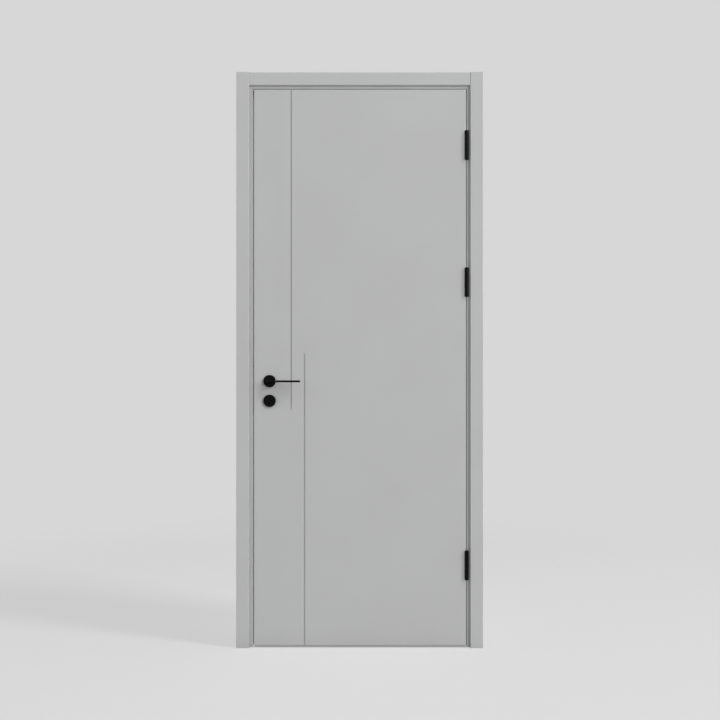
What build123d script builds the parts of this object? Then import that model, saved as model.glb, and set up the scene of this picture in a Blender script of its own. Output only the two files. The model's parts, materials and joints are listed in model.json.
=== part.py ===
"""Prehung interior door: a flush grey leaf in a cased frame, with black lever furniture and three butt hinges.

Millimetres. The hinge jamb's wall face is x = 0, the middle of the frame's depth is y = 0 and the floor
is z = 0. The front looks along -Y and the hinges are on the right of someone standing there.
"""

import os

from build123d import *

os.makedirs("parts", exist_ok=True)

# Driving sizes of the leaf
leaf_width = 775.0
leaf_height = 2032.0
leaf_thickness = 45.0
skin_thickness = 6.0
lock_stile_wall = 23.0
hinge_stile_width = 60.0
rail_height = 80.0
leaf_edge_radius = 1.0
lock_bevel = 2.0

# The two grooves cut in each face: their distance from the lock edge and where they end above the floor
groove_width = 5.0
groove_depth = 3.0
upper_groove_inset = 135.0
upper_groove_end = 870.0
lower_groove_inset = 184.0
lower_groove_end = 1074.0

# Gaps round the leaf
hinge_gap = 3.0
lock_gap = 5.2
head_gap = 5.0
floor_gap = 6.0

# Frame: lining boards, stop strips and the seal that fills the space between stop and leaf
jamb_thickness = 36.0
jamb_depth = 160.0
stop_thickness = 12.0
stop_width = 45.0
stop_gap = 5.0
board_edge_radius = 1.5
seal_clearance = 0.5
seal_base_width = 8.0
seal_base_thickness = 1.2
kerf_width = 3.0
kerf_depth = 6.0
kerf_clearance = 0.2

# Casings
casing_width = 47.0
casing_thickness = 12.0
leg_reveal = 11.4
head_reveal = 10.0
casing_edge_radius = 3.0
casing_quirk = 1.2
quirk_depth = 3.0
head_casing_setback = 2.0
joint_gap = 0.4

# Butt hinges
hinge_height = 101.0
hinge_plate_thickness = 2.5
hinge_plate_depth = 32.0
hinge_plate_corner = 6.0
hinge_barrel_diameter = 16.0
hinge_pin_diameter = 8.0
hinge_tip_height = 3.0
hinge_tip_bevel = 1.4
hinge_knuckles = 5
knuckle_play = 0.4
pin_clearance = 0.08
barrel_clearance = 1.0
mortise_clearance = 0.2
top_hinge_drop = 204.0
middle_hinge_drop = 500.0
bottom_hinge_height = 301.0

# Lever furniture
lever_height = 973.0
backset = 57.0
lock_centres = 72.0
rose_diameter = 45.0
rose_thickness = 9.0
rose_edge = 1.2
lever_length = 114.0
lever_bar_height = 7.0
lever_bar_depth = 17.0
lever_projection = 56.0
neck_diameter = 17.0
neck_clearance = 0.4
collar_length = 7.0
neck_corner = 1.5
bar_edge_radius = 1.2
spindle_side = 8.0
spindle_clearance = 0.1
socket_depth = 22.0

# Lock
forend_width = 22.0
forend_thickness = 3.0
forend_end = 33.0
forend_corner = 8.0
case_wall = 6.0
case_thickness = 15.0
case_clearance = 0.5
latch_rise = 24.0
latch_height = 30.0
bolt_height = 36.0
bolt_thickness = 10.0
bolt_clearance = 0.3
latch_land = 1.5
latch_slope = 6.0
cylinder_radius = 8.5
cylinder_web = 10.0
cylinder_height = 33.0
cylinder_offset = 8.0
cylinder_proud = 2.0
cylinder_clearance = 0.3
bore_clearance = 1.0
strike_end = 26.0
strike_width = 24.0
strike_thickness = 2.0
strike_corner = 8.0
strike_window = 2.0
pocket_depth = 16.0

# Planes that follow from them
frame_front = -jamb_depth / 2
frame_back = jamb_depth / 2
hinge_face = -jamb_thickness
leaf_right = hinge_face - hinge_gap
leaf_left = leaf_right - leaf_width
lock_face = leaf_left - lock_gap
lock_wall = lock_face - jamb_thickness
leaf_bottom = floor_gap
leaf_top = leaf_bottom + leaf_height
head_face = leaf_top + head_gap
head_wall = head_face + jamb_thickness
leaf_front = frame_front
leaf_back = leaf_front + leaf_thickness
leaf_mid = (leaf_front + leaf_back) / 2
core_front = leaf_front + skin_thickness
core_back = leaf_back - skin_thickness
stop_front = leaf_back + stop_gap
stop_back = stop_front + stop_width
casing_right = hinge_face + leg_reveal
casing_left = lock_face - leg_reveal
casing_bottom = head_face + head_reveal
casing_top = casing_bottom + casing_width
barrel_radius = hinge_barrel_diameter / 2
hinge_x = (hinge_face + leaf_right) / 2
hinge_y = leaf_front - barrel_radius - barrel_clearance
spindle_x = leaf_left + backset
cylinder_z = lever_height - lock_centres + cylinder_offset
escutcheon_z = lever_height - lock_centres
latch_z = lever_height + latch_rise
bolt_z = escutcheon_z
bolt_length = 0.6 * backset
case_depth = 1.5 * backset
case_top = latch_z + latch_height / 2 + case_wall
case_bottom = min(bolt_z - bolt_height / 2, cylinder_z - cylinder_height + cylinder_radius) - case_wall
forend_top = case_top + forend_end
forend_bottom = case_bottom - forend_end
lock_stile_width = forend_thickness + case_depth + lock_stile_wall
middle_of_leaf = Plane(origin=(0, leaf_mid, 0), x_dir=(1, 0, 0), z_dir=(0, 1, 0))
bevel_slope = lock_bevel / leaf_thickness
hinge_levels = {
    "top": leaf_top - top_hinge_drop,
    "middle": leaf_top - top_hinge_drop - middle_hinge_drop,
    "bottom": bottom_hinge_height,
}


def block(x0, x1, y0, y1, z0, z1):
    """A straight block between two corners."""
    centre = Pos((x0 + x1) / 2, (y0 + y1) / 2, (z0 + z1) / 2)
    return centre * Box(x1 - x0, y1 - y0, z1 - z0)


def through(outline, x, z, y0, y1):
    """An outline drawn at (x, z) on the leaf's face, run through the depth from y0 to y1."""
    sheet = Plane(origin=(x, y1, z), x_dir=(1, 0, 0), z_dir=(0, -1, 0))
    return extrude(sheet * outline, amount=y1 - y0)


def slab(corners):
    """A frame board whose face outline is given as (x, z) corners, as deep as the frame."""
    outline = make_face(Polyline([(x, frame_front, z) for x, z in corners], close=True))
    return extrude(outline, amount=jamb_depth, dir=(0, 1, 0))


def cylinder_outline(clearance):
    """The profile of the key cylinder: a round plug housing over a narrower web with a round foot."""
    foot = cylinder_height - cylinder_radius - cylinder_web / 2
    housing = Circle(cylinder_radius + clearance)
    web = Pos(0, -foot / 2) * Rectangle(cylinder_web + 2 * clearance, foot)
    end = Pos(0, -foot) * Circle(cylinder_web / 2 + clearance)
    return housing + web + end


def lock_edge(y):
    """Where the leaf's bevelled lock edge lies at a depth: it falls back from the front face to the back."""
    return leaf_left + bevel_slope * (y - leaf_front)


def column(corners, z0, z1):
    """An upright prism over (x, y) corners."""
    return extrude(make_face(Polyline([(x, y, z0) for x, y in corners], close=True)), amount=z1 - z0, dir=(0, 0, 1))


def bevel_lock_edge(piece):
    """Planes the bevel on a piece that reaches the leaf's lock edge."""
    before, behind = leaf_front - leaf_thickness, leaf_back + leaf_thickness
    outside = leaf_left - leaf_thickness
    waste = [(lock_edge(before), before), (lock_edge(behind), behind), (outside, behind), (outside, before)]
    return piece - column(waste, leaf_bottom, leaf_top)


def edge_plate(x, slope, depth, z0, z1, width, corner):
    """A plate with rounded corners let into an upright face at x, in the middle of the leaf's thickness.

    The depth is positive towards +X, and the slope is how far the face falls back for each unit of depth.
    """
    sheet = Plane(origin=(x, leaf_mid, (z0 + z1) / 2), x_dir=(slope, 1, 0), z_dir=(1, -slope, 0))
    return extrude(sheet * RectangleRounded(width, z1 - z0, corner), amount=depth)


def round_far_corners(plate, radius):
    """Rounds the two corners of a hinge plate, or of its recess, that lie away from the barrel."""
    return fillet(plate.edges().filter_by(Axis.X).group_by(Axis.Y)[-1], radius)


def hinge_mortise(z, face, side):
    """The recess for one hinge plate, cut from a face towards side (+1 into the jamb, -1 into the leaf)."""
    far = face + side * hinge_plate_thickness
    reach = hinge_height / 2 + mortise_clearance
    depth = hinge_plate_depth + mortise_clearance
    lip = leaf_front - mortise_clearance
    recess = block(min(face, far), max(face, far), lip, leaf_front + depth, z - reach, z + reach)
    return round_far_corners(recess, hinge_plate_corner + mortise_clearance)


def hinge_plate(z, face, side, own_knuckles):
    """A hinge plate with its knuckles, which hold the pin in a bore."""
    far = face + side * hinge_plate_thickness
    low, high = min(face, far), max(face, far)
    bottom = z - hinge_height / 2
    pitch = (hinge_height + knuckle_play) / hinge_knuckles
    plate = block(low, high, leaf_front, leaf_front + hinge_plate_depth, bottom, bottom + hinge_height)
    plate = round_far_corners(plate, hinge_plate_corner)
    for number in own_knuckles:
        base = bottom + number * pitch
        length = pitch - knuckle_play
        knuckle = Pos(hinge_x, hinge_y, base + length / 2) * Cylinder(barrel_radius, length)
        plate += knuckle + block(low, high, hinge_y, leaf_front, base, base + length)
    bore = hinge_pin_diameter / 2 + pin_clearance
    return plate - Pos(hinge_x, hinge_y, z) * Cylinder(bore, 2 * hinge_height)


def hinge_pin(z):
    """The pin with a button tip on each end of the barrel."""
    shaft = Cylinder(hinge_pin_diameter / 2, hinge_height + hinge_tip_height)
    tip = Cylinder(barrel_radius, hinge_tip_height)
    tip = chamfer(tip.edges().group_by(Axis.Z)[-1], hinge_tip_bevel)
    offset = (hinge_height + hinge_tip_height) / 2
    upper = Pos(0, 0, offset) * tip
    lower = Pos(0, 0, -offset) * (Rot(180, 0, 0) * tip)
    return Pos(hinge_x, hinge_y, z) * (shaft + upper + lower)


def casing_leg(inner, side):
    """A full-height casing leg with eased front edges and a fine quirk where its edge meets the lining.

    The side is +1 on the hinge side and -1 on the lock side.
    """
    middle = inner + side * casing_width / 2
    outline = Pos(middle, frame_front - casing_thickness / 2) * Rectangle(casing_width, casing_thickness)
    quirk = Pos(inner + side * casing_quirk / 2, frame_front - quirk_depth / 2)
    outline -= quirk * Rectangle(casing_quirk, quirk_depth)
    front = outline.vertices().sort_by(Axis.Y)[:2]
    return extrude(fillet(front, casing_edge_radius), amount=casing_top)


def casing_head():
    """The head casing, which butts between the legs and lies a little behind their faces."""
    thickness = casing_thickness - head_casing_setback
    low, high = casing_left + joint_gap, casing_right - joint_gap
    board = block(low, high, frame_front - thickness, frame_front, casing_bottom, casing_top)
    front = board.edges().filter_by(Axis.X).group_by(Axis.Y)[0]
    quirk_top = casing_bottom + casing_quirk
    quirk = block(low, high, frame_front - quirk_depth, frame_front, casing_bottom, quirk_top)
    return fillet(front, casing_edge_radius) - quirk


def skin(face, inward):
    """A skin with its two grooves and eased edges; inward is the way from its face to the core along Y."""
    inner = face + inward * skin_thickness
    floor = face + inward * groove_depth
    low, high = min(face, inner), max(face, inner)
    sheet = bevel_lock_edge(block(leaf_left, leaf_right, low, high, leaf_bottom, leaf_top))
    outer = sheet.faces().sort_by(Axis.Y)[0 if inward > 0 else -1]
    sheet = fillet(outer.edges(), leaf_edge_radius)
    low, high = min(face, floor), max(face, floor)
    for inset, start, end in (
        (upper_groove_inset, upper_groove_end, leaf_top),
        (lower_groove_inset, leaf_bottom, lower_groove_end),
    ):
        middle = leaf_left + inset
        sheet -= block(middle - groove_width / 2, middle + groove_width / 2, low, high, start, end)
    return sheet


def furniture_bores(front, back):
    """The holes for the lever's neck and the key cylinder."""
    neck = Circle(neck_diameter / 2 + bore_clearance)
    bores = through(neck, spindle_x, lever_height, front, back)
    return bores + through(cylinder_outline(bore_clearance), spindle_x, cylinder_z, front, back)


def rose(hole, z):
    """A round black plate on the leaf's face with a bevelled rim, cut by the given hole."""
    disc = through(Circle(rose_diameter / 2), spindle_x, z, leaf_front - rose_thickness, leaf_front)
    rim = disc.edges().group_by(Axis.Y)[0]
    return chamfer(rim, rose_edge) - hole


def lever():
    """A lever handle: a round neck that thins into a slim straight bar, with a socket for the spindle."""
    start = leaf_front - neck_clearance
    bar_back = leaf_front - lever_projection + lever_bar_depth
    bar_front = leaf_front - lever_projection
    collar_end = leaf_front - rose_thickness - collar_length
    collar = through(Circle(neck_diameter / 2), spindle_x, lever_height, collar_end, start)
    tall = neck_diameter
    round_end = Plane(origin=(spindle_x, collar_end, lever_height), x_dir=(1, 0, 0), z_dir=(0, -1, 0))
    flat_end = Plane(origin=(spindle_x, bar_back, lever_height), x_dir=(1, 0, 0), z_dir=(0, -1, 0))
    neck = loft([round_end * Circle(tall / 2), flat_end * RectangleRounded(tall, lever_bar_height, neck_corner)])
    half = lever_bar_height / 2
    bar = block(
        spindle_x - tall / 2,
        spindle_x + lever_length,
        bar_front,
        bar_back,
        lever_height - half,
        lever_height + half,
    )
    bar = fillet(bar.edges().filter_by(Axis.X), bar_edge_radius)
    side = spindle_side + 2 * spindle_clearance
    socket = through(Rectangle(side, side), spindle_x, lever_height, leaf_front - socket_depth, start)
    return collar + neck + bar - socket


def other_side(shape):
    """The same piece on the back of the leaf."""
    return mirror(shape, about=middle_of_leaf)


parts = {}

# The lining: two uprights and a head, mitred where they meet
parts["hinge_jamb"] = slab([(0, 0), (hinge_face, 0), (hinge_face, head_face), (0, head_wall)])
parts["lock_jamb"] = slab([(lock_wall, 0), (lock_face, 0), (lock_face, head_face), (lock_wall, head_wall)])
parts["head_jamb"] = slab(
    [
        (hinge_face - joint_gap, head_face),
        (lock_face + joint_gap, head_face),
        (lock_wall + joint_gap, head_wall),
        (-joint_gap, head_wall),
    ]
)


def ease(board, run, across, which):
    """Eases the long edges of a board's face towards the doorway, as a planed board has them."""
    edges = board.edges().filter_by(run).group_by(across)[which]
    return fillet(edges, board_edge_radius)


parts["hinge_jamb"] = ease(parts["hinge_jamb"], Axis.Z, Axis.X, 0)
parts["lock_jamb"] = ease(parts["lock_jamb"], Axis.Z, Axis.X, -1)
parts["head_jamb"] = ease(parts["head_jamb"], Axis.X, Axis.Z, 0)
for level in hinge_levels.values():
    parts["hinge_jamb"] -= hinge_mortise(level, hinge_face, 1)

# Stop strips against the lining, each with a kerf that takes the seal
kerf_front = stop_front
kerf_back = stop_front + kerf_depth
stop_right = hinge_face - stop_thickness
stop_left = lock_face + stop_thickness
stop_under = head_face - stop_thickness
kerf_right = hinge_face - stop_thickness / 2
kerf_left = lock_face + stop_thickness / 2
kerf_top = head_face - stop_thickness / 2
half_kerf = kerf_width / 2
hinge_stop = ease(block(stop_right, hinge_face, stop_front, stop_back, 0, head_face), Axis.Z, Axis.X, 0)
lock_stop = ease(block(lock_face, stop_left, stop_front, stop_back, 0, head_face), Axis.Z, Axis.X, -1)
head_low, head_high = stop_left + joint_gap, stop_right - joint_gap
head_stop = block(head_low, head_high, stop_front, stop_back, stop_under, head_face)
head_stop = ease(head_stop, Axis.X, Axis.Z, 0)
hinge_kerf = block(kerf_right - half_kerf, kerf_right + half_kerf, kerf_front, kerf_back, 0, head_face)
lock_kerf = block(kerf_left - half_kerf, kerf_left + half_kerf, kerf_front, kerf_back, 0, head_face)
head_kerf = block(stop_left, stop_right, kerf_front, kerf_back, kerf_top - half_kerf, kerf_top + half_kerf)
parts["hinge_stop"] = hinge_stop - hinge_kerf
parts["lock_stop"] = lock_stop - lock_kerf
parts["head_stop"] = head_stop - head_kerf

# Seals: a flat base, a barb in the kerf and a round bulb towards the leaf
bulb = stop_gap - seal_clearance
barb_width = kerf_width - 2 * kerf_clearance
barb_depth = kerf_depth - kerf_clearance
seal_outline = (
    Pos(0, -bulb / 2) * Circle(bulb / 2)
    + Pos(0, -seal_base_thickness / 2) * Rectangle(seal_base_width, seal_base_thickness)
    + Pos(0, barb_depth / 2) * Rectangle(barb_width, barb_depth)
)
seal_end = kerf_top + seal_base_width / 2
parts["hinge_seal"] = Pos(kerf_right, stop_front, 0) * extrude(seal_outline, amount=seal_end)
parts["lock_seal"] = Pos(kerf_left, stop_front, 0) * extrude(seal_outline, amount=seal_end)
across = Plane(
    origin=(stop_left + joint_gap, stop_front, kerf_top),
    x_dir=(0, 0, -1),
    z_dir=(1, 0, 0),
)
head_run = stop_right - stop_left - 2 * joint_gap
parts["head_seal"] = extrude(across * seal_outline, amount=head_run)

# Casings on the front, repeated on the back
parts["front_casing_right"] = casing_leg(casing_right, 1)
parts["front_casing_left"] = casing_leg(casing_left, -1)
parts["front_casing_head"] = casing_head()
for piece in ("right", "left", "head"):
    parts["back_casing_" + piece] = mirror(parts["front_casing_" + piece], about=Plane.XZ)

# Hinges: the jamb's plate has the odd knuckles and keeps the pin, the leaf's plate has the even ones
for place, level in hinge_levels.items():
    parts[place + "_hinge_jamb_plate"] = hinge_plate(level, hinge_face, 1, range(0, hinge_knuckles, 2))
    parts[place + "_hinge_leaf_plate"] = hinge_plate(level, leaf_right, -1, range(1, hinge_knuckles, 2))
    parts[place + "_hinge_pin"] = hinge_pin(level)

# Leaf: stiles and rails between two skins
parts["lock_stile"] = bevel_lock_edge(
    block(leaf_left, leaf_left + lock_stile_width, core_front, core_back, leaf_bottom, leaf_top)
)
parts["hinge_stile"] = block(
    leaf_right - hinge_stile_width, leaf_right, core_front, core_back, leaf_bottom, leaf_top
)
rail_left = leaf_left + lock_stile_width
rail_right = leaf_right - hinge_stile_width
parts["top_rail"] = block(rail_left, rail_right, core_front, core_back, leaf_top - rail_height, leaf_top)
parts["bottom_rail"] = block(
    rail_left, rail_right, core_front, core_back, leaf_bottom, leaf_bottom + rail_height
)
parts["front_skin"] = skin(leaf_front, 1)
parts["back_skin"] = skin(leaf_back, -1)
for level in hinge_levels.values():
    for piece in ("front_skin", "hinge_stile"):
        parts[piece] -= hinge_mortise(level, leaf_right, -1)
bores = furniture_bores(leaf_front - rose_thickness, leaf_back + rose_thickness)
for piece in ("front_skin", "back_skin", "lock_stile"):
    parts[piece] -= bores

# Lock: a case let into the lock stile behind its forend, with the two bolts drawn back
edge_mid = lock_edge(leaf_mid)
forend_reach = forend_thickness * (1 + bevel_slope**2) ** 0.5
forend_back = edge_mid + forend_reach
half_case = case_thickness / 2
parts["lock_stile"] -= edge_plate(
    edge_mid,
    bevel_slope,
    forend_thickness,
    forend_bottom - mortise_clearance,
    forend_top + mortise_clearance,
    forend_width + 2 * mortise_clearance,
    forend_corner + mortise_clearance,
)
parts["lock_stile"] -= block(
    leaf_left,
    forend_back + case_depth + case_clearance,
    leaf_mid - half_case - case_clearance,
    leaf_mid + half_case + case_clearance,
    case_bottom - case_clearance,
    case_top + case_clearance,
)
forend = edge_plate(
    edge_mid, bevel_slope, forend_thickness, forend_bottom, forend_top, forend_width, forend_corner
)
case = block(
    leaf_left, forend_back + case_depth, leaf_mid - half_case, leaf_mid + half_case, case_bottom, case_top
)
case = Pos(forend_reach, 0, 0) * bevel_lock_edge(Pos(-forend_reach, 0, 0) * case)
follower = Circle(spindle_side * 0.75 + bore_clearance)
case -= through(follower, spindle_x, lever_height, leaf_front, leaf_back)
case -= through(cylinder_outline(cylinder_clearance), spindle_x, cylinder_z, leaf_front, leaf_back)


def bolt(z, height, clearance):
    """A bolt of the lock, or the passage for it when a clearance is given."""
    half = bolt_thickness / 2 + clearance
    reach = height / 2 + clearance
    end = leaf_left + bolt_length + clearance
    return block(leaf_left, end, leaf_mid - half, leaf_mid + half, z - reach, z + reach)


# The latch's nose slopes back on the side that meets the strike first as the leaf closes
land_y = leaf_mid - bolt_thickness / 2 + latch_land
nose_y = leaf_mid + bolt_thickness / 2
nose = [
    (lock_edge(land_y), land_y),
    (lock_edge(nose_y) + latch_slope, nose_y),
    (leaf_left, nose_y),
    (leaf_left, land_y),
]
nose = column(nose, latch_z - latch_height / 2, latch_z + latch_height / 2)
parts["latch_bolt"] = bevel_lock_edge(bolt(latch_z, latch_height, 0)) - nose
parts["dead_bolt"] = bevel_lock_edge(bolt(bolt_z, bolt_height, 0))
for passage in (
    bolt(latch_z, latch_height, bolt_clearance),
    bolt(bolt_z, bolt_height, bolt_clearance),
):
    forend -= passage
    case -= passage
parts["lock_forend"] = forend
parts["lock_case"] = case
parts["key_cylinder"] = through(
    cylinder_outline(0),
    spindle_x,
    cylinder_z,
    leaf_front - rose_thickness - cylinder_proud,
    leaf_back + rose_thickness + cylinder_proud,
)

# Strike plate let into the lock jamb, with a window and a pocket for each bolt
strike_low = bolt_z - bolt_height / 2 - strike_window - strike_end
strike_high = latch_z + latch_height / 2 + strike_window + strike_end
strike = edge_plate(lock_face, 0, -strike_thickness, strike_low, strike_high, strike_width, strike_corner)
parts["lock_jamb"] -= edge_plate(
    lock_face,
    0,
    -strike_thickness,
    strike_low - mortise_clearance,
    strike_high + mortise_clearance,
    strike_width + 2 * mortise_clearance,
    strike_corner + mortise_clearance,
)
for z, height in ((latch_z, latch_height), (bolt_z, bolt_height)):
    half = bolt_thickness / 2 + strike_window
    reach = height / 2 + strike_window
    window = block(lock_face - pocket_depth, lock_face, leaf_mid - half, leaf_mid + half, z - reach, z + reach)
    strike -= window
    parts["lock_jamb"] -= window
parts["strike_plate"] = strike

# Furniture on the front, repeated on the back
neck_hole = through(
    Circle(neck_diameter / 2 + neck_clearance),
    spindle_x,
    lever_height,
    leaf_front - 2 * rose_thickness,
    leaf_front + rose_thickness,
)
key_hole = through(
    cylinder_outline(cylinder_clearance),
    spindle_x,
    cylinder_z,
    leaf_front - 2 * rose_thickness,
    leaf_front + rose_thickness,
)
parts["front_rose"] = rose(neck_hole, lever_height)
parts["front_escutcheon"] = rose(key_hole, escutcheon_z)
parts["front_lever"] = lever()
for piece in ("rose", "escutcheon", "lever"):
    parts["back_" + piece] = other_side(parts["front_" + piece])
spindle_end = socket_depth - 1
parts["spindle"] = through(
    Rectangle(spindle_side, spindle_side),
    spindle_x,
    lever_height,
    leaf_front - spindle_end,
    leaf_back + spindle_end,
)

for name, shape in parts.items():
    export_step(shape, f"parts/{name}.step")
print(len(parts), "parts written")
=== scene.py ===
# %% [markdown]
# # A grey flush door in its frame
# The imported model already holds every board, hinge and lever as a solid, in metres, standing where it
# belongs. This script dresses those solids: it gives each one a real finish, adds the small pieces that a
# joiner fixes last (screws, seals, keyways, keeper cups), and sets up the studio and the camera.
# We keep the box of the bare model; the studio is centred on it.

import json
import math

import bmesh
import bpy
from mathutils import Matrix, Vector

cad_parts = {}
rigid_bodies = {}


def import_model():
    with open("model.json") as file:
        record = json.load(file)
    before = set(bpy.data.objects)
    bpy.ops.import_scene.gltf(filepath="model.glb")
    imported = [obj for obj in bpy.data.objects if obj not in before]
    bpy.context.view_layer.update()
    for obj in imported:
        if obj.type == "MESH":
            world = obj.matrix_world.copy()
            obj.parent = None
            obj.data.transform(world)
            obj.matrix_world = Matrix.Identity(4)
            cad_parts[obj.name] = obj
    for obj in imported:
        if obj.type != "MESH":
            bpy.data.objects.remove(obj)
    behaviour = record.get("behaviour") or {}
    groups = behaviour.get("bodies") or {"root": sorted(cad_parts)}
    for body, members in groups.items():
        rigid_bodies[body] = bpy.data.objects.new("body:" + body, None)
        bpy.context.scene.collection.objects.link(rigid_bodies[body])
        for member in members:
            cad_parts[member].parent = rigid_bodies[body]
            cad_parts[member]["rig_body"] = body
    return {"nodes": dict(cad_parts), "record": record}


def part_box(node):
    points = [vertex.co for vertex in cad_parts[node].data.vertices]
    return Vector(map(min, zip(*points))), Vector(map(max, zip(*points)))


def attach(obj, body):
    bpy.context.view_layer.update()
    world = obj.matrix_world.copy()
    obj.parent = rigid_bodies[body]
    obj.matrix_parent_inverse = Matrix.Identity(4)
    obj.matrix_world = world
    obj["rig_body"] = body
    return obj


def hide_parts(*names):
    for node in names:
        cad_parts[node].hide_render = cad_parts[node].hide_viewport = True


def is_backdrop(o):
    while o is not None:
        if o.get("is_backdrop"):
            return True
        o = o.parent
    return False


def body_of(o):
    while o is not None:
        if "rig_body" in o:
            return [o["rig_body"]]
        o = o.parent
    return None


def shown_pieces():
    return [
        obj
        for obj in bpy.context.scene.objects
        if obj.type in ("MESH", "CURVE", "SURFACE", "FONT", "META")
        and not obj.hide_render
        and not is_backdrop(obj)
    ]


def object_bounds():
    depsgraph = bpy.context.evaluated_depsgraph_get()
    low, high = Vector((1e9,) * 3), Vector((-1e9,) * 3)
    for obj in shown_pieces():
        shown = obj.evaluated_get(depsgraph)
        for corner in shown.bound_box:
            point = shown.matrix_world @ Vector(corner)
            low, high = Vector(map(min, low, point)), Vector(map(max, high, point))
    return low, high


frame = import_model()
cad_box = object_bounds()
nodes = frame["nodes"]
MM = 0.001
print("loaded", len(nodes), "solids")

# %% [markdown]
# ## Tools for finishes
# Colours are picked as sRGB hex values, the way a paint card or a picture editor shows them, but shaders
# count in linear light. One function makes the change. `add` puts a node into a tree, and `plug` sets its
# values and links. The functions after them are the few nodes that every finish here is made of: noise of a
# given size in metres, a blend of two colours, a spread of values, and bumps.


# %% Colour and node helpers
def colour(hex_code):
    """An sRGB hex value as linear red, green, blue and alpha."""
    parts = [int(hex_code[i : i + 2], 16) / 255 for i in (1, 3, 5)]
    return [c / 12.92 if c <= 0.04045 else ((c + 0.055) / 1.055) ** 2.4 for c in parts] + [1.0]


def plug(tree, node, inputs):
    """A value goes on the input itself, and another node's output is linked to it."""
    for name, value in inputs.items():
        if isinstance(value, bpy.types.NodeSocket):
            tree.links.new(value, node.inputs[name])
        else:
            node.inputs[name].default_value = value


def add(tree, kind, inputs=None, **settings):
    """Adds a node with its settings and inputs."""
    node = tree.nodes.new(kind)
    for name, value in settings.items():
        setattr(node, name, value)
    plug(tree, node, inputs or {})
    return node


def noise(tree, place, size, detail):
    """Noise from 0 to 1 whose patches are about this size."""
    inputs = {"Vector": place, "Scale": 1 / size, "Detail": detail}
    return add(tree, "ShaderNodeTexNoise", inputs).outputs["Fac"]


def blend(tree, amount, first, second):
    """A colour between two; the mix node keeps its colours at inputs 6 and 7 and the result at output 2."""
    return add(tree, "ShaderNodeMix", {0: amount, 6: first, 7: second}, data_type="RGBA").outputs[2]


def spread(tree, value, low, high):
    """Values from 0 to 1 moved to the range from low to high."""
    return add(tree, "ShaderNodeMapRange", {"Value": value, "To Min": low, "To Max": high}).outputs["Result"]


def bumps(tree, value, strength, height):
    """Normals that make the value look raised by this height."""
    inputs = {"Height": value, "Strength": strength, "Distance": height}
    return add(tree, "ShaderNodeBump", inputs).outputs["Normal"]


def combine(tree, operation, *values):
    """The result of a math node on one or two values."""
    return add(tree, "ShaderNodeMath", dict(enumerate(values)), operation=operation).outputs[0]


def new_finish(name):
    """An empty finish: its node tree, its surface shader and the piece's own coordinates."""
    finish = bpy.data.materials.new(name)
    finish.use_nodes = True
    tree = finish.node_tree
    tree.nodes.clear()
    shader = add(tree, "ShaderNodeBsdfPrincipled")
    add(tree, "ShaderNodeOutputMaterial", {"Surface": shader.outputs["BSDF"]})
    place = add(tree, "ShaderNodeTexCoord").outputs["Object"]
    return finish, tree, shader, place


print("helpers ready; the leaf's grey in linear light is", [round(c, 3) for c in colour("#B5B6B6")[:3]])

# %% [markdown]
# ## Sprayed lacquer on fibreboard
# Leaf, lining and casings are fibreboard sprayed with a grey satin lacquer. Sprayed lacquer is almost
# even, and three small things keep it from looking like plastic: slow clouds in the tone where the passes
# of the gun overlap (hands wide), gloss that drifts over a shorter distance, and the fine dimples called
# orange peel. Real dimples are 1 to 2 mm; they are drawn at 4 mm here, as fine as a picture of the whole
# door can carry.

# %% Grey lacquer
lacquer, tree, shader, place = new_finish("sprayed_grey_lacquer")
clouds = noise(tree, place, 260 * MM, detail=3)
drift = noise(tree, place, 70 * MM, detail=2)
peel = noise(tree, place, 4 * MM, detail=1)
looks = {
    "Base Color": blend(tree, clouds, colour("#B2B2B2"), colour("#B8B9B9")),
    "Roughness": spread(tree, drift, 0.42, 0.54),
    "Normal": bumps(tree, peel, strength=0.12, height=0.05 * MM),
    "IOR": 1.47,
}
plug(tree, shader, looks)
print("made", lacquer.name)

# %% [markdown]
# ## Black coat on the hinges and furniture
# Levers, roses and hinges are metal with a baked black coat. It is not a true black: the coat is a very
# dark grey with a fine sandy grain that breaks up highlights. The real grain is about 0.2 mm; it is drawn
# at 0.8 mm so that a close view shows it.

# %% Baked black coat
black, tree, shader, place = new_finish("baked_black_coat")
grain = noise(tree, place, 0.8 * MM, detail=2)
looks = {
    "Base Color": blend(tree, grain, colour("#050505"), colour("#0B0B0B")),
    "Roughness": spread(tree, grain, 0.30, 0.42),
    "Normal": bumps(tree, grain, strength=0.15, height=0.04 * MM),
    "IOR": 1.5,
    "Specular IOR Level": 0.07,
}
plug(tree, shader, looks)
print("made", black.name)

# %% [markdown]
# ## Grey powder coat on the strike
# The strike lies in the narrow gap beside the lever, and no black shows there, so it is coated to match the
# frame. Powder melts into a coat that is a little rougher than lacquer, with pimples about 1 mm apart.

# %% Grey powder coat
coat, tree, shader, place = new_finish("grey_powder_coat")
melt = noise(tree, place, 1 * MM, detail=2)
looks = {
    "Base Color": blend(tree, melt, colour("#AFB0B0"), colour("#BABBBB")),
    "Roughness": spread(tree, melt, 0.48, 0.62),
    "Normal": bumps(tree, melt, strength=0.2, height=0.05 * MM),
}
plug(tree, shader, looks)
print("made", coat.name)

# %% [markdown]
# ## Blackened steel of the screws
# Screws come blackened in an oil bath instead of coated. The bare metal still shows through, so their heads
# have a dull gleam that tells them from the plates. Grip and driver wear them in specks under a millimetre.

# %% Blackened screws
blackened, tree, shader, place = new_finish("oil_blackened_steel")
wear = noise(tree, place, 0.9 * MM, detail=3)
looks = {
    "Base Color": blend(tree, wear, colour("#242425"), colour("#4A4A4B")),
    "Roughness": spread(tree, wear, 0.30, 0.46),
    "Metallic": 1.0,
}
plug(tree, shader, looks)
print("made", blackened.name)

# %% [markdown]
# ## Zinc plated steel
# The spindle and the lock case inside the leaf are steel with a bright zinc plate. Rolled sheet keeps
# faint lines along its length, so the noise is stretched into streaks: short across, long along.

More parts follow.
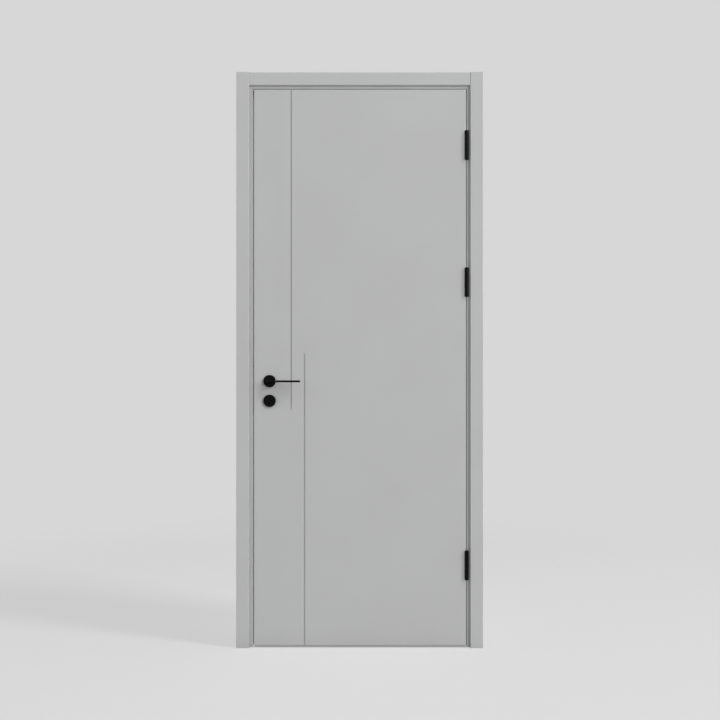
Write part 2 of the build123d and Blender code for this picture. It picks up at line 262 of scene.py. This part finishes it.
# %% Zinc plate
zinc, tree, shader, place = new_finish("zinc_plated_steel")
across = 1 / (1 * MM)
along = 1 / (25 * MM)
lined = add(tree, "ShaderNodeMapping", {"Vector": place, "Scale": (across, along, across)})
streaks = noise(tree, lined.outputs["Vector"], 1, detail=3)
looks = {
    "Base Color": blend(tree, streaks, colour("#A9ABAD"), colour("#C2C4C6")),
    "Roughness": spread(tree, streaks, 0.28, 0.42),
    "Metallic": 1.0,
}
plug(tree, shader, looks)
print("made", zinc.name)

# %% [markdown]
# ## Rubber of the seals
# The seal is extruded rubber, dull and dark grey. Extruding leaves it finely rough, at about 1 mm, and a
# bloom of paler powder settles on it in patches a few centimetres long.

# %% Seal rubber
rubber, tree, shader, place = new_finish("extruded_seal_rubber")
bloom = noise(tree, place, 30 * MM, detail=4)
rough = noise(tree, place, 1 * MM, detail=2)
looks = {
    "Base Color": blend(tree, bloom, colour("#4C4D4E"), colour("#636465")),
    "Roughness": spread(tree, bloom, 0.62, 0.82),
    "Normal": bumps(tree, rough, strength=0.2, height=0.05 * MM),
}
plug(tree, shader, looks)
print("made", rubber.name)

# %% [markdown]
# ## Dressing the solids
# The record of the model says which finish each solid wears, by the name of a slot. We only swap the
# plain colour that came with the model for the finish made above, and leave every shape alone. The strike is
# the one exception: it takes the grey coat instead of the black one.

# %% Finishes on the solids
finishes = {"grey_lacquer": lacquer, "black_metal": black, "zinc_steel": zinc, "seal_rubber": rubber}
for entry in frame["record"]["subparts"]:
    solid = nodes[entry["node"]]
    solid.data.materials.clear()
    solid.data.materials.append(finishes[entry["material_slot"]])
nodes["strike_plate"].data.materials[0] = coat

# %% [markdown]
# ## Hand tools for modelling
# Each new piece starts as a primitive and is shaped in edit mode, as by hand. An operator works on all
# that is selected, so we clear the selection first, and pick faces by a test on their normal or place.
# `carve` and `weld` are the boolean modifier used as a chisel and as glue. `settle` hands a finished piece
# to its body: the object stays at the origin and the place is in the mesh.


# %% Modelling helpers
facing = 0.9  # a normal with this much along an axis counts as looking that way


def clear_bench():
    """Leaves nothing selected."""
    bpy.ops.object.select_all(action="DESELECT")


def take(piece):
    """Makes one piece the active and only selected one."""
    clear_bench()
    piece.select_set(True)
    bpy.context.view_layer.objects.active = piece


def pick_faces(piece, test):
    """In edit mode, selects just the faces that pass the test."""
    bpy.ops.mesh.select_mode(type="FACE")
    bpy.ops.mesh.select_all(action="DESELECT")
    sheet = bmesh.from_edit_mesh(piece.data)
    for face in sheet.faces:
        face.select = test(face)
    sheet.select_flush(True)
    bmesh.update_edit_mesh(piece.data)


def bar(width, depth, height, centre):
    """A straight bar, with its size and place already in the mesh."""
    clear_bench()
    bpy.ops.mesh.primitive_cube_add(size=1, location=centre, scale=(width, depth, height))
    bpy.ops.object.transform_apply(location=True, rotation=True, scale=True)
    return bpy.context.object


def boolean(piece, tool, operation):
    """Cuts the tool out of the piece, or welds it on, and puts the tool away."""
    take(piece)
    step = piece.modifiers.new("step", "BOOLEAN")
    step.operation = operation
    step.object = tool
    step.solver = "EXACT"
    bpy.ops.object.modifier_apply(modifier=step.name)
    bpy.data.objects.remove(tool)


def carve(piece, tool):
    """Cuts the tool out of the piece."""
    boolean(piece, tool, "DIFFERENCE")


def weld(piece, tool):
    """Makes the tool one with the piece."""
    boolean(piece, tool, "UNION")


def give_wall(piece, thickness):
    """Turns the active piece's open surface into a wall of this thickness, on the inside."""
    wall = piece.modifiers.new("wall", "SOLIDIFY")
    wall.thickness = thickness
    wall.offset = -1
    bpy.ops.object.modifier_apply(modifier=wall.name)


def ease_edges(piece, width):
    """Rounds the active piece's edges over this width."""
    ease = piece.modifiers.new("ease", "BEVEL")
    ease.width = width
    ease.segments = 2
    bpy.ops.object.modifier_apply(modifier=ease.name)


def copy_to(piece, name, move):
    """A copy with a mesh of its own, moved in the mesh."""
    copied = bpy.data.objects.new(name, piece.data.copy())
    copied.data.transform(move)
    bpy.context.scene.collection.objects.link(copied)
    return copied


def join(pieces, name):
    """Makes one object of several."""
    take(pieces[0])
    for piece in pieces[1:]:
        piece.select_set(True)
    bpy.ops.object.join()
    pieces[0].name = name
    return pieces[0]


def settle(piece, body, finish, angle=30):
    """Smooths a piece by angle, gives it its finish and hangs it on the body that carries it."""
    take(piece)
    bpy.ops.object.transform_apply(location=True, rotation=True, scale=True)
    bpy.ops.object.shade_smooth_by_angle(angle=math.radians(angle))
    piece.data.materials.clear()
    piece.data.materials.append(finish)
    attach(piece, body)
    print("made", piece.name, "with", len(piece.data.polygons), "faces, on", body)


# %% [markdown]
# ## Countersunk screws
# Hinge plates, forend and strike are held by black countersunk screws whose heads lie almost flush. One
# head is modelled: a disc, domed by two small insets, with a cross recess cut by two bars. The bars' ends
# are slimmed so that the recess narrows as a driver's point does. It is then copied, each copy turned a
# little, because no fitter lines up the slots.

# %% One screw head
recess_long = 4.4 * MM
recess_short = 0.9 * MM
clear_bench()
bpy.ops.mesh.primitive_cylinder_add(vertices=24, radius=3.9 * MM, depth=1.0 * MM)
screw = bpy.context.object
bpy.ops.object.mode_set(mode="EDIT")
pick_faces(screw, lambda face: face.normal.z > facing)
bpy.ops.mesh.inset(thickness=0.45 * MM, depth=0.14 * MM)
bpy.ops.mesh.inset(thickness=1.0 * MM, depth=0.06 * MM)
bpy.ops.object.mode_set(mode="OBJECT")
for width, depth in ((recess_long, recess_short), (recess_short, recess_long)):
    arm = bar(width, depth, 1.0 * MM, (0, 0, 0.62 * MM))
    bpy.ops.object.mode_set(mode="EDIT")
    pick_faces(arm, lambda face: face.normal.z < -facing)
    bpy.ops.transform.resize(value=(0.7, 0.7, 1.0))
    bpy.ops.object.mode_set(mode="OBJECT")
    carve(screw, arm)
print("screw head with", len(screw.data.polygons), "faces")

# %% [markdown]
# The screws stand in the plates' outer faces: towards -X on the jamb plates and the forend, towards +X on
# the leaf plates and the strike. A turn about Y lays the head over to that side. The lock edge is planed
# so that it falls back 2 mm over its 45 mm depth, and the heads in the forend lean with it.

# %% Screws in their plates
hinge_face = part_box("hinge_jamb")[0].x
leaf_low, leaf_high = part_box("front_skin")
leaf_front = leaf_low.y
leaf_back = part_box("back_skin")[1].y
leaf_mid = (leaf_front + leaf_back) / 2
head_sunk = 0.35 * MM
lock_fall = 2.0 / 45.0
hinge_pitch = 25 * MM
hinge_columns = (22 * MM, 10 * MM)
forend_end = 14 * MM
strike_end = 12 * MM


def set_screws(name, body, face_x, side, spots, lean=0.0):
    """Screw heads at (y, z) spots on a face that looks to side (+1 or -1) along X, leaned about Z."""
    heads = []
    for number, (y, z) in enumerate(spots):
        # any uneven turn will do, as long as each head gets its own
        turn = Matrix.Rotation(math.radians(41 * number + 17 * len(name)), 4, "Z")
        lay = Matrix.Rotation(lean, 4, "Z") @ Matrix.Rotation(side * math.pi / 2, 4, "Y")
        spot = Matrix.Translation((face_x - side * head_sunk, y, z))
        heads.append(copy_to(screw, "head", spot @ lay @ turn))
    settle(join(heads, name), body, blackened)


for place_name in ("top", "middle", "bottom"):
    low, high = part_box(place_name + "_hinge_jamb_plate")
    middle = (low.z + high.z) / 2
    spots = [(leaf_front + hinge_columns[row % 2], middle + (row - 1.5) * hinge_pitch) for row in range(4)]
    set_screws(place_name + "_hinge_jamb_screws", "frame", hinge_face, -1, spots)
    set_screws(place_name + "_hinge_leaf_screws", "leaf", leaf_high.x, 1, spots)
low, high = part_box("lock_forend")
forend_mid = low.x + lock_fall * (high.y - low.y) / 2
spots = [(leaf_mid, low.z + forend_end), (leaf_mid, high.z - forend_end)]
set_screws("forend_screws", "leaf", forend_mid, -1, spots, lean=-math.atan(lock_fall))
low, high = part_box("strike_plate")
spots = [(leaf_mid, low.z + strike_end), (leaf_mid, high.z - strike_end)]
set_screws("strike_screws", "frame", high.x, 1, spots)
bpy.data.objects.remove(screw)

# %% [markdown]
# ## Keyways of the cylinder
# Each end of the cylinder shows a round plug, a fine ring where it turns in its housing, and the keyway.
# The solid is a plain bar, so we take a copy of its mesh, merge its loose triangles, and cut both ends: a
# thin torus leaves the ring, and two bars side by side leave the stepped slot of a keyway.

# %% Cylinder with keyways
low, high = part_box("key_cylinder")
housing_radius = 8.5 * MM
slot_length = 24 * MM
plug_x = (low.x + high.x) / 2
plug_z = high.z - housing_radius
cylinder = bpy.data.objects.new("keyed_cylinder", nodes["key_cylinder"].data.copy())
bpy.context.scene.collection.objects.link(cylinder)
take(cylinder)
bpy.ops.mesh.customdata_custom_splitnormals_clear()
bpy.ops.object.mode_set(mode="EDIT")
bpy.ops.mesh.select_all(action="SELECT")
bpy.ops.mesh.remove_doubles(threshold=0.005 * MM)
bpy.ops.mesh.dissolve_limited(angle_limit=math.radians(1))
bpy.ops.object.mode_set(mode="OBJECT")
for end in (low.y, high.y):
    clear_bench()
    bpy.ops.mesh.primitive_torus_add(
        major_segments=48,
        minor_segments=8,
        major_radius=6.6 * MM,
        minor_radius=0.28 * MM,
        location=(plug_x, end, plug_z),
        rotation=(math.pi / 2, 0, 0),
    )
    bpy.ops.object.transform_apply(location=True, rotation=True, scale=True)
    carve(cylinder, bpy.context.object)
    carve(cylinder, bar(1.9 * MM, slot_length, 8.6 * MM, (plug_x, end, plug_z - 0.4 * MM)))
    carve(cylinder, bar(1.4 * MM, slot_length, 3.2 * MM, (plug_x + 1.2 * MM, end, plug_z - 1.4 * MM)))
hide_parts("key_cylinder")
settle(cylinder, "leaf", black)

# %% [markdown]
# ## Seals
# A stop seal is a hollow rubber bulb on a flat foot, with a barb pushed into the kerf of the stop. The
# bulb is a circle drawn out into a tube and given a wall; foot and barb are bars, the foot with eased edges,
# welded on. The head seal is the same section laid on its side.

# %% Seal strips
bulb_radius = 2.25 * MM
foot_width = 8.0 * MM
foot_thick = 1.2 * MM


def seal_strip(node, length):
    """A seal standing on the floor at x = 0 with the face of its foot at y = 0, bulb towards -Y."""
    clear_bench()
    bpy.ops.mesh.primitive_circle_add(
        vertices=24, radius=bulb_radius, fill_type="NOTHING", location=(0, -bulb_radius, 0)
    )
    strip = bpy.context.object
    bpy.ops.object.transform_apply(location=True, rotation=True, scale=True)
    bpy.ops.object.mode_set(mode="EDIT")
    bpy.ops.mesh.select_all(action="SELECT")
    bpy.ops.mesh.extrude_region_move(TRANSFORM_OT_translate={"value": (0, 0, length)})
    bpy.ops.mesh.select_all(action="SELECT")
    bpy.ops.mesh.normals_make_consistent(inside=False)
    bpy.ops.object.mode_set(mode="OBJECT")
    give_wall(strip, 0.7 * MM)
    foot = bar(foot_width, foot_thick, length, (0, -foot_thick / 2, length / 2))
    ease_edges(foot, 0.35 * MM)
    weld(strip, foot)
    weld(strip, bar(2.4 * MM, 5.8 * MM, length, (0, 2.8 * MM, length / 2)))
    strip.name = node + "_strip"
    return strip


for node in ("hinge_seal", "lock_seal", "head_seal"):
    low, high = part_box(node)
    foot_y = low.y + 2 * bulb_radius
    if node == "head_seal":
        strip = seal_strip(node, high.x - low.x)
        start = Matrix.Translation((low.x, foot_y, (low.z + high.z) / 2))
        move = start @ Matrix.Rotation(math.pi / 2, 4, "Y")
    else:
        strip = seal_strip(node, high.z - low.z)
        move = Matrix.Translation(((low.x + high.x) / 2, foot_y, low.z))
    strip.data.transform(move)
    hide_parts(node)
    settle(strip, "frame", rubber)

# %% [markdown]
# ## Keeper cups
# Behind the two windows of the strike, the pockets in the jamb are lined with black moulded cups, so that
# the bolts never rub on bare board. A bar the size of the pocket loses its mouth, gets a wall on the inside,
# and its rim is eased.

# %% Cups in the strike's pockets
strike_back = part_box("strike_plate")[0].x
cup_depth = 13.8 * MM
margin = 2 * MM
play = 0.2 * MM
for name, node in (("latch_cup", "latch_bolt"), ("bolt_cup", "dead_bolt")):
    low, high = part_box(node)
    cup = bar(
        cup_depth,
        high.y - low.y + 2 * margin - play,
        high.z - low.z + 2 * margin - play,
        (strike_back - cup_depth / 2, leaf_mid, (low.z + high.z) / 2),
    )
    bpy.ops.object.mode_set(mode="EDIT")
    pick_faces(cup, lambda face: face.normal.x > facing)
    bpy.ops.mesh.delete(type="FACE")
    bpy.ops.object.mode_set(mode="OBJECT")
    give_wall(cup, 1.0 * MM)
    ease_edges(cup, 0.25 * MM)
    cup.name = name
    settle(cup, "frame", black)

# %% [markdown]
# ## Grub screws
# A small grub screw under each neck locks the lever to its spindle. It is a short pin with a
# six-sided socket, pressed into the neck so that only its face shows.

# %% Grub screws under the necks
rose_low, rose_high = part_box("front_rose")
neck_x = (rose_low.x + rose_high.x) / 2
neck_z = (rose_low.z + rose_high.z) / 2
neck_radius = 8.5 * MM
pressed_in = 0.75 * MM
socket_depth = 2.0 * MM
collar = 3.5 * MM
for name, y in (
    ("front_grub_screw", rose_low.y - collar),
    ("back_grub_screw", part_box("back_rose")[1].y + collar),
):
    clear_bench()
    bpy.ops.mesh.primitive_cylinder_add(vertices=24, radius=2.0 * MM, depth=1.6 * MM)
    grub = bpy.context.object
    bpy.ops.object.mode_set(mode="EDIT")
    pick_faces(grub, lambda face: face.normal.z < -facing)
    bpy.ops.mesh.inset(thickness=0.3 * MM, depth=0.15 * MM)
    bpy.ops.object.mode_set(mode="OBJECT")
    clear_bench()
    bpy.ops.mesh.primitive_cylinder_add(
        vertices=6, radius=1.1 * MM, depth=socket_depth, location=(0, 0, -socket_depth / 2)
    )
    bpy.ops.object.transform_apply(location=True, rotation=True, scale=True)
    carve(grub, bpy.context.object)
    grub.data.transform(Matrix.Translation((neck_x, y, neck_z - neck_radius + pressed_in)))
    grub.name = name
    settle(grub, "levers", blackened)

# %% [markdown]
# ## Studio paper
# The door stands on pale paper that runs into a pale backdrop with no line between them. Near the door the
# paper takes light and shadow, and a painted light is added on it for the camera as a glow, a touch stronger
# in front than behind, as if lit from the front; further out it turns into the backdrop's tone, by distance
# from the door, so that the two meet unseen. The Light Path node keeps what the camera sees apart from what
# lights the door: to bounced rays the paper is darker, or it would flood the door with light from below. At
# the foot it is black to them, a painted shade that stands for the door's own shade on the paper, and so leaf
# and casings darken in their last few centimetres.


# %% Paper on the floor
def shown_to(tree, *kinds):
    """1 for rays of these kinds, as the Light Path node calls them, and 0 for all others."""
    ray = add(tree, "ShaderNodeLightPath")
    shown = ray.outputs[kinds[0]]
    for kind in kinds[1:]:
        shown = combine(tree, "MAXIMUM", shown, ray.outputs[kind])
    return shown


backdrop_tone = colour("#D7D7D7")
centre_x = (cad_box[0][0] + cad_box[1][0]) / 2
casing_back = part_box("back_casing_left")[1].y
foot_shade = 60 * MM
paper_side = 60
paper_drop = 0.4 * MM
fade_start = 1.5
fade_end = 3.3
# painted light: the strength of the paper's glow in front of the door and behind it
painted_light_in_front = 0.29
painted_light_behind = 0.25
clear_bench()
bpy.ops.mesh.primitive_plane_add(size=paper_side, location=(centre_x, 0, -paper_drop))
floor = bpy.context.object
floor.name = "studio_floor"
bpy.ops.object.transform_apply(location=True, rotation=True, scale=True)
paper = bpy.data.materials.new("pale_studio_paper")
paper.use_nodes = True
tree = paper.node_tree
tree.nodes.clear()
spot = add(tree, "ShaderNodeTexCoord").outputs["Object"]
shown = shown_to(tree, "Is Camera Ray", "Is Glossy Ray")
axes = add(tree, "ShaderNodeSeparateXYZ", {"Vector": spot})
beside = combine(tree, "ABSOLUTE", axes.outputs["Y"])
# painted shade: to bounced rays the paper is black within foot_shade of the casings, for the door's own shade
# there
lit = add(
    tree,
    "ShaderNodeMapRange",
    {"Value": beside, "From Min": casing_back, "From Max": casing_back + foot_shade},
)
bounced = blend(tree, lit.outputs["Result"], colour("#000000"), colour("#8E8E8E"))
pale = blend(tree, shown, bounced, colour("#B4B4B4"))
matt = add(tree, "ShaderNodeBsdfDiffuse", {"Color": pale})
# painted light: a glow shown to the camera, fading from front to back as if lit from the front
painted_light_slope = add(
    tree,
    "ShaderNodeMapRange",
    {
        "Value": axes.outputs["Y"],
        "From Min": -1.0,
        "From Max": 2.0,
        "To Min": painted_light_in_front,
        "To Max": painted_light_behind,
    },
)
painted_light_strength = combine(tree, "MULTIPLY", shown, painted_light_slope.outputs["Result"])
painted_light_glow = add(tree, "ShaderNodeEmission", {"Color": (1, 1, 1, 1), "Strength": painted_light_strength})
near = add(tree, "ShaderNodeAddShader", {0: matt.outputs[0], 1: painted_light_glow.outputs[0]})
far = add(tree, "ShaderNodeEmission", {"Color": backdrop_tone, "Strength": 1.0})
away = add(tree, "ShaderNodeVectorMath", {0: spot, 1: (centre_x, 0, 0)}, operation="DISTANCE")
fade = add(
    tree,
    "ShaderNodeMapRange",
    {"Value": away.outputs["Value"], "From Min": fade_start, "From Max": fade_end},
    interpolation_type="SMOOTHSTEP",
)
turn = combine(tree, "MULTIPLY", shown, fade.outputs["Result"])
both = add(tree, "ShaderNodeMixShader", {0: turn, 1: near.outputs[0], 2: far.outputs[0]})
add(tree, "ShaderNodeOutputMaterial", {"Surface": both.outputs[0]})
floor.data.materials.append(paper)
floor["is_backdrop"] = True
print("made", floor.name)

# %% [markdown]
# ## Sky and backdrop
# The sky of the world lights the object evenly, and shows the backdrop's tone to the camera, in reflections
# and through clear things.

# %% Sky and backdrop
world = bpy.data.worlds.new("studio_world")
bpy.context.scene.world = world
world.use_nodes = True
tree = world.node_tree
tree.nodes.clear()
shown = shown_to(tree, "Is Camera Ray", "Is Glossy Ray", "Is Transmission Ray")
sky = add(tree, "ShaderNodeBackground", {"Color": (1, 1, 1, 1), "Strength": 0.30})
backdrop = add(tree, "ShaderNodeBackground", {"Color": backdrop_tone, "Strength": 1.0})
mixed = add(tree, "ShaderNodeMixShader", {0: shown, 1: sky.outputs[0], 2: backdrop.outputs[0]})
add(tree, "ShaderNodeOutputWorld", {"Surface": mixed.outputs[0]})
print("made", world.name)

# %% [markdown]
# ## Groups for the lamps
# A studio keeps lamps off the paper, or off a part of the door, with black flags; light linking does the
# same here. A lamp can have a group of objects that it reaches and a group that throws shadows in its light.
# A group that is marked EXCLUDE means everything but its members.


# %% Groups for the lamps
def group(name, members, state="INCLUDE"):
    """A collection that holds the members for a lamp, or keeps them out."""
    made = bpy.data.collections.new(name)
    for member in members:
        made.objects.link(member)
    for entry in made.collection_objects:
        entry.light_linking.link_state = state
    print("group", name, "with", len(members), "objects,", state)
    return made


board_names = ("front_skin", "back_skin", "bottom_rail", "lock_stile", "hinge_stile")
hinge_parts = ("hinge_jamb_plate", "hinge_leaf_plate", "hinge_pin")
leaf_boards = [nodes[name] for name in board_names]
hinges = [nodes[name] for name in nodes if name.endswith(hinge_parts)]
hung = [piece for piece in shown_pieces() if body_of(piece) != ["frame"]]
hung_and_hinges = hung + [piece for piece in hinges if piece not in hung]
lock_side = [nodes["lock_jamb"], nodes["lock_stop"], nodes["strike_plate"]]
hinge_side = [nodes["hinge_jamb"], nodes["hinge_stop"]]
head_side = [nodes["head_jamb"], nodes["head_stop"], nodes["front_casing_head"]]
paper_alone = group("paper_alone", [floor])
not_paper = group("not_paper", [floor], "EXCLUDE")
not_lock_side = group("not_lock_side", [floor] + lock_side, "EXCLUDE")
not_hinge_side = group("not_hinge_side", [floor] + hinge_side, "EXCLUDE")
lock_side_alone = group("lock_side_alone", lock_side)
hinge_side_alone = group("hinge_side_alone", hinge_side)
head_alone = group("head_alone", head_side)
leaf_shadow = group("leaf_shadow", leaf_boards)
no_hinge_shadow = group("no_hinge_shadow", hinges, "EXCLUDE")
no_leaf_shadow = group("no_leaf_shadow", hung_and_hinges, "EXCLUDE")

# %% [markdown]
# ## Lamps
# Two lamps light the paper alone: one almost in line with the wall throws the long faint shadow to the left,
# and one straight overhead leaves the dark line under the leaf.
# The door is lit by a tall strip of five soft lamps, half right and far off, so that the light is nearly as
# strong at the foot as at the head. The strip darkens the reveal beside the right casing and leaves the left
# one light. Being tall, it smears out the shadow of the lever; and as three of the five pass the hinges by,
# their shadows stay soft too. A weak lamp from the left and two from behind fill the rest.
# A gap of a few millimetres would show as a black line. So the lock side of the lining takes the light of
# those three from one lamp a little further round, which nothing on the leaf shades; the hinge side takes the
# left lamp's in the same way, and the head has a weak lamp of its own from below.


# %% Lamps
half_height = 1.05
any_distance = 5  # the light of a sun lamp is the same from everywhere
strip_turn = 42
strip_away = 30
strip_low = 6
strip_step = 10
strip_middle = strip_low + 2 * strip_step
strip_lamp = {"energy": 5950, "shadow_soft_size": 4.5}
three_in_one = {**strip_lamp, "energy": 3 * strip_lamp["energy"]}
sharp_sun = {"energy": 1.35, "angle": math.radians(0.5)}
head_sun = {"energy": 1.15, "angle": math.radians(10)}
weak_sun = {"energy": 0.75, "angle": math.radians(40)}
broad_sun = {"energy": 1.7, "angle": math.radians(60)}


def lamp(kind, name, azimuth, height, away, reach, shadows=None, **settings):
    """A lamp at an angle right of the front and above the floor, in degrees, looking at the door's middle."""
    data = bpy.data.lights.new(name, kind)
    for key, value in settings.items():
        setattr(data, key, value)
    thing = bpy.data.objects.new(name, data)
    bpy.context.scene.collection.objects.link(thing)
    turn = math.radians(azimuth)
    rise = math.radians(height)
    towards = Vector((math.sin(turn) * math.cos(rise), -math.cos(turn) * math.cos(rise), math.sin(rise)))
    thing.location = Vector((centre_x, 0, half_height)) + away * towards
    thing.rotation_euler = towards.to_track_quat("Z", "Y").to_euler()
    thing.light_linking.receiver_collection = reach
    thing.light_linking.blocker_collection = shadows
    print("lamp", name, "at", [round(v, 2) for v in thing.location])


lamp("POINT", "shadow_lamp", 66, 40, 14, paper_alone, energy=2260, shadow_soft_size=1.5)
lamp("SUN", "overhead_lamp", 0, 90, any_distance, paper_alone, leaf_shadow, **sharp_sun)
for step in range(5):
    name = f"right_lamp_{step + 1}"
    height = strip_low + step * strip_step
    if step % 2:
        lamp("POINT", name, strip_turn, height, strip_away, not_paper, **strip_lamp)
    else:
        lamp("POINT", name, strip_turn, height, strip_away, not_lock_side, no_hinge_shadow, **strip_lamp)
lamp("POINT", "lock_side_lamp", 52, strip_middle, strip_away, lock_side_alone, no_leaf_shadow, **three_in_one)
lamp("SUN", "head_lamp", 0, -90, any_distance, head_alone, head_alone, **head_sun)
lamp("SUN", "left_lamp", -50, 20, any_distance, not_hinge_side, **weak_sun)
lamp("SUN", "hinge_side_lamp", -50, 20, any_distance, hinge_side_alone, no_leaf_shadow, **weak_sun)
for side in (-145, 145):
    lamp("SUN", f"back_lamp_{side}", side, 25, any_distance, not_paper, **broad_sun)

# %% [markdown]
# ## Camera
# The door was taken square on from half its height. It fills 246.6 of 720 pixels across, and a 50 mm lens
# on a 36 mm sensor has a focal length of 1000 such pixels, so the camera stands 3.645 m in front of the
# casings. It is nudged 1 mm to the right, as the door lies a quarter of a pixel left of the middle.

# %% Camera
camera_away = 3.645
nudge = 0.9 * MM
eye = bpy.data.cameras.new("front_camera")
eye.lens = 50
eye.sensor_width = 36
eye.sensor_fit = "HORIZONTAL"
camera = bpy.data.objects.new("front_camera", eye)
bpy.context.scene.collection.objects.link(camera)
casing_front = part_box("front_casing_left")[0].y
camera.location = (centre_x + nudge, casing_front - camera_away, half_height)
camera.rotation_euler = (math.pi / 2, 0, 0)
bpy.context.scene.camera = camera
bpy.context.scene.view_settings.view_transform = "Standard"
print("camera at", [round(v, 3) for v in camera.location])
